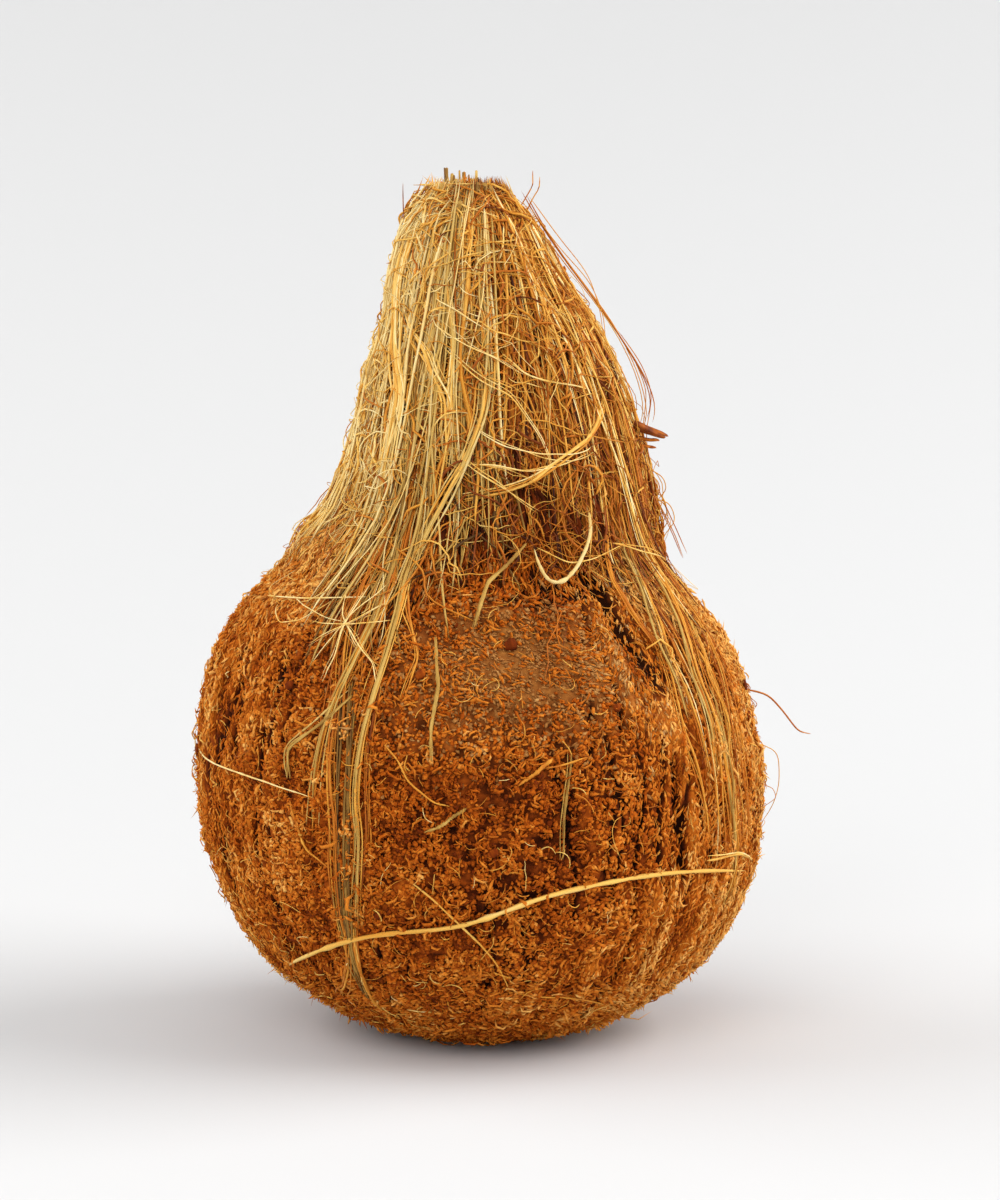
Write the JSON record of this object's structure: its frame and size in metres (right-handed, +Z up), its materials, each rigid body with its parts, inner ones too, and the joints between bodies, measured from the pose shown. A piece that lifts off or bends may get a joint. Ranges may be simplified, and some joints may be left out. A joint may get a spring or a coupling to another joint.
{
  "type": "semi-husked coconut",
  "caption": "Round, slightly three-sided coconut in a felt of brown husk pith, with a tapering tuft of combed straw-coloured husk fibre standing on it as a neck.",
  "frame": {"origin": "centre of the small flat spot at the blossom end, which the coconut rests on", "axes": "+Z up through the tuft of fibre over the eyes; -Y the front, between the left and the right seam ridge; +X to the right"},
  "size_m": [0.1169, 0.1163, 0.1779],
  "materials": {
    "coir_husk": "dry brown coconut husk: matt curly pith and fibre on the nut, straw-coloured combed fibre in the tuft"
  },
  "bodies": {
    "root": {"coconut": "coir_husk"}
  },
  "joints": []
}
